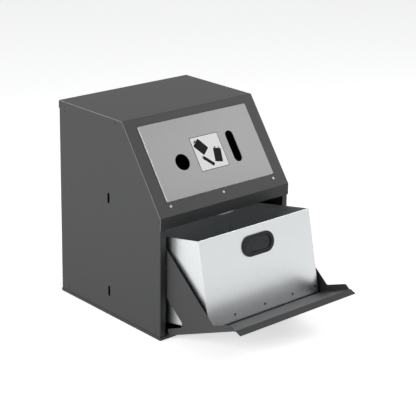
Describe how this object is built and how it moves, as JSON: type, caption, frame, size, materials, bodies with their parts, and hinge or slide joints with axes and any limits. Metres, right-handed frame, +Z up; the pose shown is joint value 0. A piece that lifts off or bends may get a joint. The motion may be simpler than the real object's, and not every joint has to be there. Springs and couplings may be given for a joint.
{
  "type": "battery recycling bin",
  "caption": "Sheet-steel battery recycling bin with a sloping fascia, throw-in openings, a drop-down front flap and a pull-out galvanised container.",
  "frame": {"origin": "centre of the casing's footprint on the floor", "axes": "+Z up, -Y is the front where the flap opens, +X to the right as seen from the front"},
  "size_m": [0.4, 0.6355, 0.492],
  "materials": {
    "casing_paint": "satin",
    "insert_paint": "satin",
    "galvanised": "satin",
    "zinc_plated": "satin",
    "edging_plastic": "matte",
    "grip_rubber": "matte",
    "nylon": "matte",
    "magnet": "matte"
  },
  "bodies": {
    "casing": {"left_side_panel": "casing_paint", "right_side_panel": "casing_paint", "back_panel": "casing_paint", "floor_panel": "casing_paint", "base_edging": "edging_plastic", "hood": "casing_paint", "left_hood_angle": "casing_paint", "right_hood_angle": "casing_paint", "insert_panel": "insert_paint", "insert_screws": "zinc_plated", "clinch_nuts": "zinc_plated", "band_screws": "casing_paint", "left_side_rivets": "casing_paint", "right_side_rivets": "casing_paint", "back_rivets": "casing_paint", "catch_plate": "zinc_plated", "catch_clip": "zinc_plated", "catch_magnet": "magnet", "catch_rivets": "zinc_plated", "hinge_rod": "zinc_plated"},
    "flap": {"flap_panel": "casing_paint", "stop_studs": "zinc_plated"},
    "arm_glides": {"left_arm_glide": "nylon", "right_arm_glide": "nylon"},
    "edge_rod": {"edge_rod": "zinc_plated"},
    "container": {"container_shell": "galvanised", "container_base": "galvanised", "front_grip": "grip_rubber"}
  },
  "joints": [
    {"name": "flap_hinge", "type": "hinge", "parent": "casing", "child": "flap", "pos_m": [0, -0.189, 0.00975], "axis": [-1, 0, 0], "range_deg": [0, 68.2]},
    {"name": "glide_pivot", "type": "hinge", "parent": "flap", "child": "arm_glides", "pos_m": [0, -0.1222, 0.2038], "axis": [1, 0, 0], "range_deg": [0, 140.5]},
    {"name": "container_slide", "type": "slide", "parent": "arm_glides", "child": "edge_rod", "axis": [0, 0.4447, 0.8957], "range_m": [0, 0.329]},
    {"name": "container_tilt", "type": "hinge", "parent": "edge_rod", "child": "container", "pos_m": [0, -0.32675, 0.06792], "axis": [-1, 0, 0], "range_deg": [0, 61.51]}
  ],
  "couplings": [
    {"joint": "glide_pivot", "follows": "flap_hinge", "ratio": 2.06},
    {"joint": "container_slide", "follows": "flap_hinge", "m_per_rad": 0.27639},
    {"joint": "container_tilt", "follows": "flap_hinge", "ratio": 0.9018}
  ]
}
